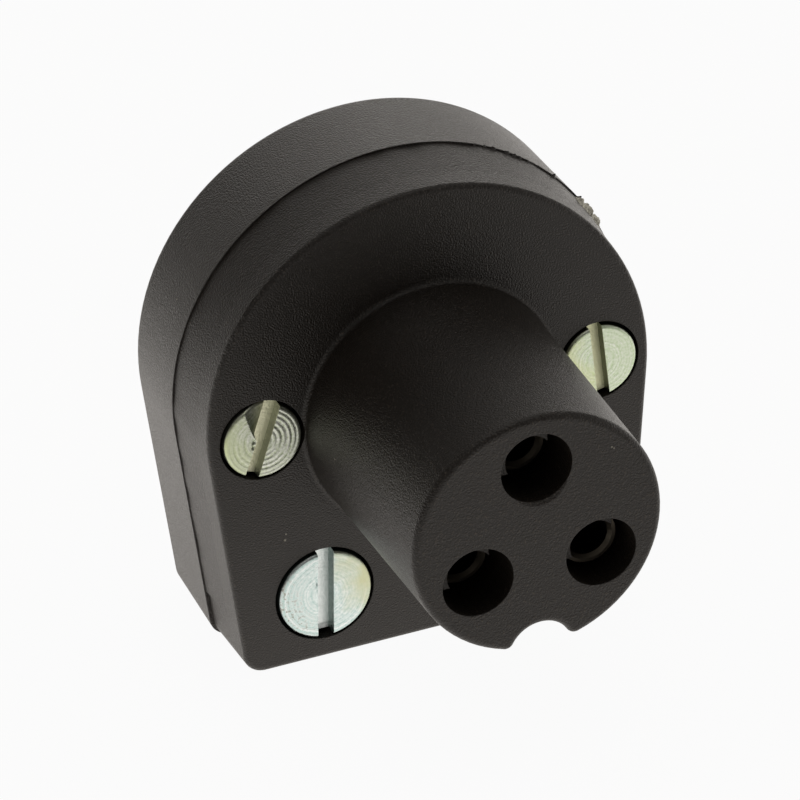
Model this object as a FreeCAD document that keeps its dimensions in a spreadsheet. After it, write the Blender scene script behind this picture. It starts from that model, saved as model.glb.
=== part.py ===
import FreeCAD, Part
import math
import os

import Sketcher

# Right-angle three-pole cable socket: a drafted D-shaped housing in two screwed halves, with a keyed
# round nose that holds three sprung contacts. The parting plane runs through the middle of the cord.
# Frame: origin under the middle of the overall box, +Z up, nose towards -Y, +X to the right of the nose.

# Driving dimensions in millimetres and angles in degrees; each becomes one named cell of the sheet.
DIMENSIONS = {
    # outline of the housing
    "crown_radius": 13.6,
    "front_draft": 3.2,
    "cover_draft": 0.6,
    "crown_height": 15.0,
    "side_angle": 5.3,
    "corner_radius": 1.2,
    "part_depth": 4.7,
    "cover_depth": 6.55,
    "front_edge_radius": 0.35,
    "back_edge_radius": 0.5,
    "parting_step": 0.2,
    # walls and inner forms
    "front_wall": 1.8,
    "side_wall": 1.8,
    "bottom_wall": 1.8,
    "back_wall": 1.8,
    "block_height": 8.2,
    "fin_width": 0.8,
    "fin_reach": 7.2,
    # nose
    "nose_length": 15.05,
    "nose_height": 14.74,
    "nose_tip_diameter": 14.27,
    "nose_base_diameter": 15.1,
    "nose_edge_radius": 0.4,
    "nose_root_radius": 0.3,
    "key_radius": 1.8,
    "key_offset": 7.45,
    "key_corner": 0.5,
    # contact holes
    "contact_circle": 8.17,
    "lip_depth": 1.0,
    "lip_thickness": 0.6,
    "lip_relief": 0.05,
    "lip_root": 0.3,
    "lip_start": 38.7,
    "lip_end": 206.4,
    # contacts and terminals
    "sleeve_bore": 2.4,
    "sleeve_wall": 0.4,
    "sleeve_mouth": 0.2,
    "sleeve_recess": 2.85,
    "sleeve_recess_forward": 1.75,
    "seam_width": 0.4,
    "seam_angle": 120.0,
    "stud_web": 0.4,
    "cup_depth": 3.0,
    "flange_thickness": 1.2,
    "washer_diameter": 4.4,
    "washer_thickness": 0.5,
    # slotted cheese-head screws: terminal, cover and clamp sizes
    "terminal_thread": 2.0,
    "terminal_head": 3.8,
    "terminal_head_height": 1.3,
    "terminal_length": 3.0,
    "terminal_slot": 0.5,
    "terminal_slot_depth": 0.6,
    "cover_thread": 2.5,
    "cover_head": 4.5,
    "cover_head_height": 1.8,
    "cover_length": 6.0,
    "cover_slot": 0.75,
    "cover_slot_depth": 0.75,
    "clamp_thread": 3.0,
    "clamp_head": 5.5,
    "clamp_head_height": 2.0,
    "clamp_length": 6.0,
    "clamp_slot": 0.95,
    "clamp_slot_depth": 0.9,
    "head_edge": 0.2,
    "head_recess": 0.1,
    # screw places and the bosses round the cover screws
    "cover_inset": 3.55,
    "cover_height": 15.05,
    "clamp_inset": 5.69,
    "clamp_height": 4.25,
    "boss_wall": 0.9,
    "insert_diameter": 3.8,
    "insert_past": 0.9,
    "insert_sink": 0.1,
    "tip_room": 0.3,
    # cord entry and clamp bar
    "cord_diameter": 6.0,
    "grip_rib": 1.2,
    "bar_gap": 0.3,
    "bar_corner": 0.6,
    # fits
    "head_clearance": 0.2,
    "shank_clearance": 0.15,
    "thread_clearance": 0.02,
    "press_clearance": 0.01,
    "sleeve_room": 0.43,
    "lip_clearance": 0.17,
    "stud_clearance": 0.08,
    "flange_clearance": 0.39,
    "washer_clearance": 0.185,
    "fin_clearance": 0.4,
    "post_clearance": 0.05,
    "entry_clearance": 0.2,
    "channel_clearance": 0.5,
    "bar_end_room": 0.95,
    "bar_foot_room": 0.25,
    "bar_back_room": 0.65,
}

# The contacts stand evenly round the nose axis. Angles are seen from the front, from +X towards +Z.
CONTACTS = ("top", "left", "right")
CONTACT_STEP = 360 / len(CONTACTS)
CONTACT_ANGLES = {name: 90 + place * CONTACT_STEP for place, name in enumerate(CONTACTS)}

# Angles at which the slots of the screws came to rest, on the same count.
SLOT_ANGLES = {"cover_left": 70, "cover_right": 95, "clamp_left": 87, "clamp_right": 40, "terminal": 25}

# Places worked out from the sheet. Depths count towards the front from the parting plane.
PARTING_Y = "(dims.nose_length + dims.part_depth - dims.cover_depth) / 2"
FACE = "dims.part_depth"
TIP = "(dims.part_depth + dims.nose_length)"
WELL_FLOOR = "(dims.part_depth - dims.front_wall)"
CAVITY_DEPTH = "(dims.cover_depth - dims.back_wall)"
FLANGE_BACK = f"({WELL_FLOOR} - dims.flange_thickness)"

# Sizes worked out from the sheet: each piece from the one that it fits, and a named clearance.
SLEEVE_DIAMETER = "(dims.sleeve_bore + 2 * dims.sleeve_wall)"
CONTACT_HOLE = f"({SLEEVE_DIAMETER} + 2 * dims.sleeve_room)"
LIP_RADIUS = "(dims.sleeve_bore / 2 + dims.lip_clearance)"
STUD_DIAMETER = f"({CONTACT_HOLE} - 2 * dims.stud_clearance)"
TAP_DEPTH = "(dims.terminal_length - dims.washer_thickness + dims.tip_room)"
STUD_SOLID = f"({TAP_DEPTH} - dims.flange_thickness + dims.stud_web)"
HALF_SPACING = f"(dims.contact_circle / 2 * sin({CONTACT_STEP / 2} deg))"
FLANGE_DIAMETER = f"(2 * ({HALF_SPACING} - dims.flange_clearance) - dims.fin_width)"
POST_DIAMETER = "(dims.contact_circle - dims.washer_diameter - 2 * dims.washer_clearance)"
BOSS_DIAMETER = "(dims.insert_diameter + 2 * dims.boss_wall)"
COVER_SEAT = "(dims.part_depth - dims.head_recess - dims.cover_head_height)"
INSERT_LENGTH = f"(dims.cover_length - {COVER_SEAT} - dims.insert_sink + dims.insert_past)"
BAR_FOOT = "(dims.bottom_wall + dims.bar_foot_room)"
BAR_HEIGHT = f"(2 * (dims.clamp_height - {BAR_FOOT}))"
BAR_THICKNESS = f"({CAVITY_DEPTH} - dims.bar_gap - dims.bar_back_room)"


def half_width(height, inset="0"):
    """Expression for the half width of the D below its crown, at a height and inside a wall."""
    lean = f"(dims.crown_height - {height}) * sin(dims.side_angle * 1 deg)"
    return f"((dims.crown_radius - {inset} - {lean}) / cos(dims.side_angle * 1 deg))"


COVER_SPREAD = "(dims.crown_radius - dims.cover_inset)"
CLAMP_SPREAD = f"({half_width('dims.clamp_height')} - dims.clamp_inset)"
SPREADS = {"cover": COVER_SPREAD, "clamp": CLAMP_SPREAD}
BAR_REACH = f"({half_width(BAR_FOOT, 'dims.side_wall')} - dims.bar_end_room)"

V = FreeCAD.Vector
TINY = 1e-5
doc = FreeCAD.newDocument("cable_socket")
subparts = []


def make_sheet():
    """One row per driving dimension: its name, and its value under an alias of that name."""
    sheet = doc.addObject("Spreadsheet::Sheet", "dims")
    for row, (name, value) in enumerate(DIMENSIONS.items(), start=1):
        sheet.set(f"A{row}", name)
        sheet.set(f"B{row}", str(value))
        sheet.setAlias(f"B{row}", name)
    doc.recompute()


def piece(name, x="0", z="0", depth="0", facing="front"):
    """A body whose own Z axis points to the front (or the rear), placed by expressions."""
    body = doc.addObject("PartDesign::Body", name)
    body.Label = name
    turn = 90 if facing == "front" else -90
    body.Placement = FreeCAD.Placement(V(0, 0, 0), FreeCAD.Rotation(V(1, 0, 0), turn))
    body.setExpression("Placement.Base.x", x)
    body.setExpression("Placement.Base.y", f"{PARTING_Y} - ({depth})")
    body.setExpression("Placement.Base.z", z)
    subparts.append(body)
    return body


def origin_plane(body, role):
    """One of the body's own three planes."""
    return next(f for f in body.Origin.OriginFeatures if f.Role == role)


def sketch(body, height="0", x="0", y="0", angle="0", plane="XY_Plane"):
    """A sketch on one of the body's own planes, raised, shifted and turned by expressions."""
    made = body.newObject("Sketcher::SketchObject", f"{body.Name}_sketch")
    made.AttachmentSupport = [(origin_plane(body, plane), "")]
    made.MapMode = "FlatFace"
    made.AttachmentOffset = FreeCAD.Placement(V(0, 0, 0), FreeCAD.Rotation(V(0, 0, 1), 1))
    made.setExpression("AttachmentOffset.Base.x", x)
    made.setExpression("AttachmentOffset.Base.y", y)
    made.setExpression("AttachmentOffset.Base.z", height)
    made.setExpression("AttachmentOffset.Rotation.Angle", angle)
    return made


def bind(made, constraint, expression):
    """Add a dimension to a sketch and tie it to the sheet."""
    index = made.addConstraint(constraint)
    made.setExpression(f"Constraints[{index}]", expression)


def circle(made, diameter):
    """A circle about the sketch's origin."""
    index = made.addGeometry(Part.Circle(V(0, 0, 0), V(0, 0, 1), 1))
    made.addConstraint(Sketcher.Constraint("Coincident", index, 3, -1, 1))
    bind(made, Sketcher.Constraint("Diameter", index, 2), diameter)


def rectangle(made, start, end, width):
    """A rectangle lying along the sketch's X axis from start to end, centred across it."""
    corners = [V(1, -1, 0), V(3, -1, 0), V(3, 1, 0), V(1, 1, 0)]
    for index, corner in enumerate(corners):
        made.addGeometry(Part.LineSegment(corner, corners[(index + 1) % 4]))
    for index in range(4):
        made.addConstraint(Sketcher.Constraint("Coincident", index, 2, (index + 1) % 4, 1))
        made.addConstraint(Sketcher.Constraint("Vertical" if index % 2 else "Horizontal", index))
    bind(made, Sketcher.Constraint("DistanceY", 0, 1, -1, 1, 1), f"({width}) / 2")
    bind(made, Sketcher.Constraint("DistanceY", -1, 1, 2, 1, 1), f"({width}) / 2")
    if start == "0":
        made.addConstraint(Sketcher.Constraint("PointOnObject", 0, 1, -2))
    elif start.startswith("-"):
        bind(made, Sketcher.Constraint("DistanceX", 0, 1, -1, 1, 1), start[1:])
    else:
        bind(made, Sketcher.Constraint("DistanceX", -1, 1, 0, 1, 1), start)
    bind(made, Sketcher.Constraint("DistanceX", -1, 1, 0, 2, 3), end)


def lip_outline(made, relief="0"):
    """Part of a ring about the sketch's origin, cut off upright where it starts and level where it ends.

    The inner arc, wider by the relief, runs from lip_start to lip_end; the outer one stands in the wall
    of the contact hole.
    """
    inner = DIMENSIONS["sleeve_bore"] / 2 + DIMENSIONS["lip_clearance"]
    outer = DIMENSIONS["sleeve_bore"] / 2 + DIMENSIONS["sleeve_wall"] + DIMENSIONS["sleeve_room"]
    outer += DIMENSIONS["lip_root"]
    start, end = (math.radians(DIMENSIONS[f"lip_{at}"]) for at in ("start", "end"))
    opening = f"({LIP_RADIUS} + {relief})"
    outer_start = math.acos(inner * math.cos(start) / outer)
    outer_end = math.pi - math.asin(inner * math.sin(end) / outer)
    arcs = [Part.ArcOfCircle(Part.Circle(V(0, 0, 0), V(0, 0, 1), r), a, b)
            for r, a, b in ((inner, start, end), (outer, outer_start, outer_end))]
    for arc in arcs:
        made.addConstraint(Sketcher.Constraint("Coincident", made.addGeometry(arc), 3, -1, 1))
    made.addGeometry(Part.LineSegment(arcs[0].StartPoint, arcs[1].StartPoint))
    made.addGeometry(Part.LineSegment(arcs[0].EndPoint, arcs[1].EndPoint))
    for side, at in ((2, 1), (3, 2)):
        made.addConstraint(Sketcher.Constraint("Coincident", side, 1, 0, at))
        made.addConstraint(Sketcher.Constraint("Coincident", side, 2, 1, at))
    made.addConstraint(Sketcher.Constraint("Vertical", 2))
    made.addConstraint(Sketcher.Constraint("Horizontal", 3))
    bind(made, Sketcher.Constraint("Radius", 0, inner), opening)
    bind(made, Sketcher.Constraint("Radius", 1, outer), f"{CONTACT_HOLE} / 2 + dims.lip_root")
    bind(made, Sketcher.Constraint("DistanceX", -1, 1, 2, 1, inner * math.cos(start)),
         f"{opening} * cos(dims.lip_start * 1 deg)")
    bind(made, Sketcher.Constraint("DistanceY", 3, 1, -1, 1, -inner * math.sin(end)),
         f"-{opening} * sin(dims.lip_end * 1 deg)")


def outline(made, inset=None, floor=None):
    """The D outline: a round crown, sides that leave it at a tangent and close in, and a level floor.

    The sides tilt by side_angle whatever the inset, so an inset outline keeps its wall all round.
    """
    r = DIMENSIONS["crown_radius"] - (DIMENSIONS[inset] if inset else 0)
    low = DIMENSIONS[floor] if floor else 0
    middle = DIMENSIONS["crown_height"]
    tilt = math.radians(DIMENSIONS["side_angle"])
    shoulder = V(r * math.cos(tilt), middle - r * math.sin(tilt), 0)
    foot = V((r - (middle - low) * math.sin(tilt)) / math.cos(tilt), low, 0)

    def mirrored(point):
        return V(-point.x, point.y, 0)

    crown = Part.Circle(V(0, middle, 0), V(0, 0, 1), r)
    made.addGeometry(Part.ArcOfCircle(crown, -tilt, math.pi + tilt))
    made.addGeometry(Part.LineSegment(mirrored(shoulder), mirrored(foot)))
    made.addGeometry(Part.LineSegment(mirrored(foot), foot))
    made.addGeometry(Part.LineSegment(foot, shoulder))
    made.addConstraint(Sketcher.Constraint("Tangent", 0, 2, 1, 1))
    made.addConstraint(Sketcher.Constraint("Coincident", 1, 2, 2, 1))
    made.addConstraint(Sketcher.Constraint("Coincident", 2, 2, 3, 1))
    made.addConstraint(Sketcher.Constraint("Tangent", 3, 2, 0, 1))
    made.addConstraint(Sketcher.Constraint("Horizontal", 2))
    made.addConstraint(Sketcher.Constraint("Symmetric", 1, 1, 3, 2, -2))
    bind(made, Sketcher.Constraint("DistanceY", -1, 1, 0, 3, middle), "dims.crown_height")
    radius = f"dims.crown_radius - dims.{inset}" if inset else "dims.crown_radius"
    bind(made, Sketcher.Constraint("Radius", 0, r), radius)
    bind(made, Sketcher.Constraint("Angle", 3, math.pi / 2 - tilt), "(90 - dims.side_angle) * 1 deg")
    if floor:
        bind(made, Sketcher.Constraint("DistanceY", -1, 1, 2, 1, low), f"dims.{floor}")
    else:
        made.addConstraint(Sketcher.Constraint("PointOnObject", 2, 1, -1))


def pad(body, profile, length, back=False):
    """Material from a sketch, towards the front or, where back is set, the other way."""
    made = body.newObject("PartDesign::Pad", f"{body.Name}_pad")
    made.Profile = profile
    made.Reversed = back
    made.setExpression("Length", length)
    return made


def pocket(body, profile, length, front=False):
    """A cut from a sketch, towards the back or, where front is set, the other way."""
    made = body.newObject("PartDesign::Pocket", f"{body.Name}_pocket")
    made.Profile = profile
    made.Reversed = front
    made.setExpression("Length", length)
    return made


def half_form(body, depth, draft, edge_radius, inset=None, back=False):
    """One half of the housing: drafted crown and sides, a square bottom, rounded corners and edges.

    Where an inset is named, the half stands back from the other by that much at the parting plane.
    """
    rim = sketch(body)
    outline(rim, inset)
    pad(body, rim, f"dims.{depth}", back)
    doc.recompute()
    base = body.Tip
    sides = [f"Face{i}" for i, face in enumerate(base.Shape.Faces, start=1)
             if face.BoundBox.ZLength > TINY and face.BoundBox.YMax > TINY]
    made = body.newObject("PartDesign::Draft", f"{body.Name}_draft")
    made.Base = (base, sides)
    made.NeutralPlane = (origin_plane(body, "XY_Plane"), [""])
    made.Reversed = back
    made.setExpression("Angle", f"dims.{draft}")
    end = -DIMENSIONS[depth] if back else DIMENSIONS[depth]
    round_edges(body, "dims.corner_radius", lambda e: e.BoundBox.YMax < TINY and e.BoundBox.ZLength > TINY)
    round_edges(body, f"dims.{edge_radius}", lambda e: level(e, end))


def loft(body, first, second):
    """Straight-ruled material between two sketches."""
    made = body.newObject("PartDesign::AdditiveLoft", f"{body.Name}_loft")
    made.Profile = first
    made.Sections = [second]
    made.Ruled = True
    return made


def round_edges(body, radius, wanted, kind="Fillet", size="Radius"):
    """Round (or bevel) the edges of the body so far for which wanted is true."""
    doc.recompute()
    base = body.Tip
    names = [f"Edge{i}" for i, edge in enumerate(base.Shape.Edges, start=1) if wanted(edge)]
    made = body.newObject(f"PartDesign::{kind}", f"{body.Name}_edges")
    made.Base = (base, names)
    made.setExpression(size, radius)
    return made


def level(edge, height):
    """True where the whole edge lies in the plane at this height of the body."""
    box = edge.BoundBox
    return abs(box.ZMin - height) < TINY and abs(box.ZMax - height) < TINY


def round_at(edge, height, diameter):
    """True for a full circle of this diameter at this height of the body."""
    curve = edge.Curve
    return level(edge, height) and hasattr(curve, "Radius") and abs(2 * curve.Radius - diameter) < TINY


def about_nose(angle, radius="dims.contact_circle / 2"):
    """Expressions for the place at an angle about the nose axis."""
    return f"({radius}) * cos({angle} deg)", f"dims.nose_height + ({radius}) * sin({angle} deg)"


def both_sides(kind):
    """The left and the right place of the cover or the clamp screws, as expressions."""
    return {"left": f"-{SPREADS[kind]}", "right": SPREADS[kind]}


def screw_hole(body, kind, x, z):
    """Counterbore and clearance hole for one screw, from ahead of the front face inwards."""
    seat = f"(dims.head_recess + dims.{kind}_head_height)"
    mouth = sketch(body, f"{FACE} + dims.nose_root_radius", x, z)
    circle(mouth, f"dims.{kind}_head + 2 * dims.head_clearance")
    pocket(body, mouth, f"dims.nose_root_radius + {seat}")
    way = sketch(body, f"{FACE} - {seat}", x, z)
    circle(way, f"dims.{kind}_thread + 2 * dims.shank_clearance")
    pocket(body, way, f"{FACE} - {seat}")


def cord_channel(body, clearance, length, start="0"):
    """Round channel for the cord, upwards about the line where the parting plane meets the middle."""
    made = sketch(body, f"-({start})", plane="XZ_Plane")
    circle(made, f"dims.cord_diameter + 2 * {clearance}")
    pocket(body, made, length)


def front_shell():
    """Front half: drafted plate with the nose, the wiring well, the screw seats and the cord channel."""
    body = piece("front_shell")
    half_form(body, "part_depth", "front_draft", "front_edge_radius", "parting_step")

    root = sketch(body, FACE, y="dims.nose_height")
    circle(root, "dims.nose_base_diameter")
    tip = sketch(body, TIP, y="dims.nose_height")
    circle(tip, "dims.nose_tip_diameter")
    loft(body, root, tip)
    face_at = DIMENSIONS["part_depth"]
    tip_at = face_at + DIMENSIONS["nose_length"]
    base_size = DIMENSIONS["nose_base_diameter"]
    key_top = DIMENSIONS["nose_height"] - DIMENSIONS["key_offset"] + DIMENSIONS["key_radius"]

    def along_key(edge):
        box = edge.BoundBox
        return box.YMax < key_top and box.ZLength > DIMENSIONS["part_depth"]

    def round_nose(edge):
        box = edge.BoundBox
        return level(edge, face_at) and max(abs(box.XMin), abs(box.XMax)) < base_size / 2 + TINY

    key = sketch(body, TIP, y="dims.nose_height - dims.key_offset")
    circle(key, "2 * dims.key_radius")
    pocket(body, key, "dims.nose_length")
    round_edges(body, "dims.key_corner", along_key)
    round_edges(body, "dims.nose_root_radius", round_nose)
    round_edges(body, "dims.nose_edge_radius", lambda e: level(e, tip_at))

    well = sketch(body)
    outline(well, "side_wall", "block_height")
    pocket(body, well, WELL_FLOOR, front=True)
    for x in both_sides("cover").values():
        boss = sketch(body, x=x, y="dims.cover_height")
        circle(boss, BOSS_DIAMETER)
        pad(body, boss, WELL_FLOOR)
    for angle in CONTACT_ANGLES.values():
        fin = sketch(body, y="dims.nose_height", angle=str(angle + CONTACT_STEP / 2))
        rectangle(fin, f"{POST_DIAMETER} / 2 + dims.fin_clearance", "dims.fin_reach", "dims.fin_width")
        pad(body, fin, WELL_FLOOR)

    for angle in CONTACT_ANGLES.values():
        x, z = about_nose(angle)
        hole = sketch(body, TIP, x, z)
        circle(hole, CONTACT_HOLE)
        pocket(body, hole, "dims.nose_length + dims.front_wall")
        lip = sketch(body, f"{TIP} - dims.lip_depth", x, z)
        lip_outline(lip)
        lip_back = sketch(body, f"{TIP} - dims.lip_depth - dims.lip_thickness", x, z)
        lip_outline(lip_back, "dims.lip_relief")
        loft(body, lip, lip_back)

    for kind in SPREADS:
        for x in both_sides(kind).values():
            screw_hole(body, kind, x, f"dims.{kind}_height")

    below = "(dims.clamp_height - dims.grip_rib / 2)"
    above = "(dims.clamp_height + dims.grip_rib / 2)"
    cord_channel(body, "0", "dims.block_height")
    cord_channel(body, "dims.entry_clearance", "dims.bottom_wall")
    cord_channel(body, "dims.channel_clearance", f"{below} - dims.bottom_wall", "dims.bottom_wall")
    cord_channel(body, "dims.channel_clearance", f"dims.block_height - {above}", above)


def rear_cover():
    """Rear half: a tray with bosses for the cover screws and a post that keeps the contacts home."""
    body = piece("rear_cover")
    half_form(body, "cover_depth", "cover_draft", "back_edge_radius", back=True)

    cavity = sketch(body)
    outline(cavity, "side_wall", "bottom_wall")
    pocket(body, cavity, CAVITY_DEPTH)
    for x in both_sides("cover").values():
        boss = sketch(body, x=x, y="dims.cover_height")
        circle(boss, BOSS_DIAMETER)
        pad(body, boss, CAVITY_DEPTH, back=True)
        hole = sketch(body, x=x, y="dims.cover_height")
        circle(hole, "dims.insert_diameter + 2 * dims.press_clearance")
        pocket(body, hole, f"dims.insert_sink + {INSERT_LENGTH} + dims.tip_room")
    post = sketch(body, f"-{CAVITY_DEPTH}", y="dims.nose_height")
    circle(post, POST_DIAMETER)
    pad(body, post, f"{CAVITY_DEPTH} + {FLANGE_BACK} - dims.post_clearance")
    cord_channel(body, "dims.entry_clearance", "dims.bottom_wall")


def contact(name, angle, recess):
    """Rolled contact sleeve with a seam, pressed into a turned stud that is tapped from behind."""
    x, z = about_nose(angle)
    sleeve = piece(f"contact_sleeve_{name}", x, z, f"{WELL_FLOOR} + {STUD_SOLID}")
    length = f"(dims.nose_length + dims.front_wall - {STUD_SOLID} - dims.{recess})"
    tube = sketch(sleeve)
    circle(tube, SLEEVE_DIAMETER)
    pad(sleeve, tube, length)
    bore = sketch(sleeve, length)
    circle(bore, "dims.sleeve_bore")
    pocket(sleeve, bore, length)
    doc.recompute()
    mouth_at = sleeve.Tip.Shape.BoundBox.ZMax
    mouth = DIMENSIONS["sleeve_bore"]
    round_edges(sleeve, "dims.sleeve_mouth", lambda e: round_at(e, mouth_at, mouth), "Chamfer", "Size")
    seam = sketch(sleeve, length, angle="dims.seam_angle")
    rectangle(seam, "0", SLEEVE_DIAMETER, "dims.seam_width")
    pocket(sleeve, seam, length)

    stud = piece(f"terminal_stud_{name}", x, z, WELL_FLOOR)
    flange = sketch(stud)
    circle(flange, FLANGE_DIAMETER)
    pad(stud, flange, "dims.flange_thickness", back=True)
    barrel = sketch(stud)
    circle(barrel, STUD_DIAMETER)
    pad(stud, barrel, f"{STUD_SOLID} + dims.cup_depth")
    cup = sketch(stud, f"{STUD_SOLID} + dims.cup_depth")
    circle(cup, f"{SLEEVE_DIAMETER} + 2 * dims.press_clearance")
    pocket(stud, cup, "dims.cup_depth")
    tapped = sketch(stud, "-dims.flange_thickness")
    circle(tapped, "dims.terminal_thread + 2 * dims.thread_clearance")
    pocket(stud, tapped, TAP_DEPTH, front=True)

    washer = piece(f"terminal_washer_{name}", x, z, FLANGE_BACK)
    disc = sketch(washer)
    circle(disc, "dims.washer_diameter")
    pad(washer, disc, "dims.washer_thickness", back=True)
    eye = sketch(washer)
    circle(eye, "dims.terminal_thread + 2 * dims.shank_clearance")
    pocket(washer, eye, "dims.washer_thickness")

    screw(f"terminal_screw_{name}", "terminal", x, z, f"{FLANGE_BACK} - dims.washer_thickness",
          SLOT_ANGLES["terminal"], "rear")


def screw(name, kind, x, z, depth, slot_angle, facing="front"):
    """Slotted cheese-head screw, its head standing on the plane at depth."""
    body = piece(name, x, z, depth, facing)
    head = sketch(body)
    circle(head, f"dims.{kind}_head")
    pad(body, head, f"dims.{kind}_head_height")
    top = DIMENSIONS[f"{kind}_head_height"]
    round_edges(body, "dims.head_edge", lambda e: level(e, top))
    shank = sketch(body)
    circle(shank, f"dims.{kind}_thread")
    pad(body, shank, f"dims.{kind}_length", back=True)
    slot = sketch(body, f"dims.{kind}_head_height", angle=str(slot_angle))
    rectangle(slot, f"-dims.{kind}_head", f"dims.{kind}_head", f"dims.{kind}_slot")
    pocket(body, slot, f"dims.{kind}_slot_depth")


def housing_screws():
    """The screws that show on the front face, with a threaded insert behind each cover screw."""
    for kind in SPREADS:
        for side, x in both_sides(kind).items():
            seat = f"{FACE} - dims.head_recess - dims.{kind}_head_height"
            slot_angle = SLOT_ANGLES[f"{kind}_{side}"]
            screw(f"{kind}_screw_{side}", kind, x, f"dims.{kind}_height", seat, slot_angle)
    for side, x in both_sides("cover").items():
        body = piece(f"cover_insert_{side}", x, "dims.cover_height", "-dims.insert_sink")
        barrel = sketch(body)
        circle(barrel, "dims.insert_diameter")
        pad(body, barrel, INSERT_LENGTH, back=True)
        tapped = sketch(body)
        circle(tapped, "dims.cover_thread + 2 * dims.thread_clearance")
        pocket(body, tapped, INSERT_LENGTH)


def clamp_bar():
    """Tapped bar that the clamp screws draw forwards on to the cord, grooved to sit round it."""
    body = piece("clamp_bar", z="dims.clamp_height")
    plan = sketch(body, "-dims.bar_gap")
    rectangle(plan, f"-{BAR_REACH}", BAR_REACH, BAR_HEIGHT)
    pad(body, plan, BAR_THICKNESS, back=True)

    def upright(edge):
        box = edge.BoundBox
        return box.XLength < TINY and box.YLength < TINY

    round_edges(body, "dims.bar_corner", upright)
    for x in both_sides("clamp").values():
        tapped = sketch(body, "-dims.bar_gap", x)
        circle(tapped, "dims.clamp_thread + 2 * dims.thread_clearance")
        pocket(body, tapped, BAR_THICKNESS)
    groove = sketch(body, f"{BAR_HEIGHT} / 2", plane="XZ_Plane")
    circle(groove, "dims.cord_diameter")
    pocket(body, groove, BAR_HEIGHT)


def check_and_write():
    """Stop on a failed object, a feature that changed nothing or a bad solid, then write the files."""
    doc.recompute()
    for made in doc.Objects:
        if "Invalid" in made.State or "Error" in made.State:
            raise RuntimeError(f"{made.Label} failed: {made.State}")
        base = getattr(made, "BaseFeature", None)
        if base is not None and abs(made.Shape.Volume - base.Shape.Volume) < 1e-6:
            raise RuntimeError(f"{made.Label} changed nothing")
    os.makedirs("parts", exist_ok=True)
    for body in subparts:
        shape = body.Shape
        if shape.isNull() or not shape.isValid() or len(shape.Solids) != 1:
            raise RuntimeError(f"{body.Label} is not one sound solid")
    for body in subparts:
        body.Shape.exportStep(f"parts/{body.Label}.step")


make_sheet()
front_shell()
rear_cover()
for place, turn in CONTACT_ANGLES.items():
    contact(place, turn, "sleeve_recess_forward" if place == "right" else "sleeve_recess")
housing_screws()
clamp_bar()
check_and_write()
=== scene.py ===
import math

import bmesh
import bpy
import numpy as np
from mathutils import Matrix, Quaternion, Vector


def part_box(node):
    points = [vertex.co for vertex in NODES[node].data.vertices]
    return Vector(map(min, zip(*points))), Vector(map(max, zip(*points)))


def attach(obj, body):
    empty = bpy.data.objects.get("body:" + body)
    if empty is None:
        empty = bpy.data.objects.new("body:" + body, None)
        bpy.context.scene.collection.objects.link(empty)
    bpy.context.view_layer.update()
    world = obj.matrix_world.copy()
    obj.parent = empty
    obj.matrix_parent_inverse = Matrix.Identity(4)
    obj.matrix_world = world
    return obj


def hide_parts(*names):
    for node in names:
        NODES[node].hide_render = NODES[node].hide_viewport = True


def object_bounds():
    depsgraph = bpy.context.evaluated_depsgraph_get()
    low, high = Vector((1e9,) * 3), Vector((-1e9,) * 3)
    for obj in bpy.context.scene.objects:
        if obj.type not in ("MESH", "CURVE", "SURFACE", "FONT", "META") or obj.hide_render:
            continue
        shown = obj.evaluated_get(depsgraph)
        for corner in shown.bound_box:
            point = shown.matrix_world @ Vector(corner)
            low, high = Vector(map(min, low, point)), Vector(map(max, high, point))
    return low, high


# Looks of a right-angle cable socket: a matte moulded housing, plated slotted screws and brass contacts.
# Units are metres, with MM to write millimetres; +Z is up and the nose points towards -Y.
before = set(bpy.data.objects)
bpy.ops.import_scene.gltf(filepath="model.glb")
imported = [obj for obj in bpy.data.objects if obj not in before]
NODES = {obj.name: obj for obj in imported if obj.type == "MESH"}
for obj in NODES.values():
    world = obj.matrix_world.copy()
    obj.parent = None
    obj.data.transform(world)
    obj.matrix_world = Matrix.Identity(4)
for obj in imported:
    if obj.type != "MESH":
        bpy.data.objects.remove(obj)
CAD_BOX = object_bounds()
MM = 0.001
ROOT = "root"
WHITE = (1, 1, 1, 1)
# Points of a piece that are closer than this are joined.
WELD = 1e-7

# The D outline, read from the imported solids: the crown's radius and the height of its middle.
CROWN_RADIUS = (CAD_BOX[1].x - CAD_BOX[0].x) / 2
CROWN_HEIGHT = CAD_BOX[1].z - CROWN_RADIUS
# Sizes that the solids were drawn with: the parting plane, the lean of the sides, the draft of the front
# half, its step back from the cover, and the room between a contact sleeve and the wall of its hole.
PARTING_Y = 6.6 * MM
SIDE_ANGLE = math.radians(5.3)
FRONT_DRAFT = math.radians(3.2)
FRONT_STEP = 0.2 * MM
SLEEVE_ROOM = 0.43 * MM


# Small tools

def linear(code):
    """Linear RGBA of an sRGB hex colour."""
    values = np.array([int(code[i:i + 2], 16) for i in (1, 3, 5)]) / 255
    low = values / 12.92
    high = ((values + 0.055) / 1.055) ** 2.4
    return (*np.where(values <= 0.04045, low, high), 1.0)


def add(tree, kind, inputs=None, **settings):
    """Add one node: settings are its own properties, inputs are values or sockets to link.

    Map Range takes its value at 0, the range it comes from at 1 and 2, and the range it goes to at 3 and 4.
    Mix takes its share at 0, two numbers at 2 and 3, or two colours at 6 and 7.
    """
    made = tree.nodes.new(kind)
    for name, value in settings.items():
        setattr(made, name, value)
    for socket, value in (inputs or {}).items():
        if isinstance(value, bpy.types.NodeSocket):
            tree.links.new(value, made.inputs[socket])
        else:
            made.inputs[socket].default_value = value
    return made


def new_material(name):
    """An empty node material with its tree and its object coordinates."""
    material = bpy.data.materials.new(name)
    material.use_nodes = True
    tree = material.node_tree
    tree.nodes.clear()
    place = add(tree, "ShaderNodeTexCoord").outputs["Object"]
    return material, tree, place


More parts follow.
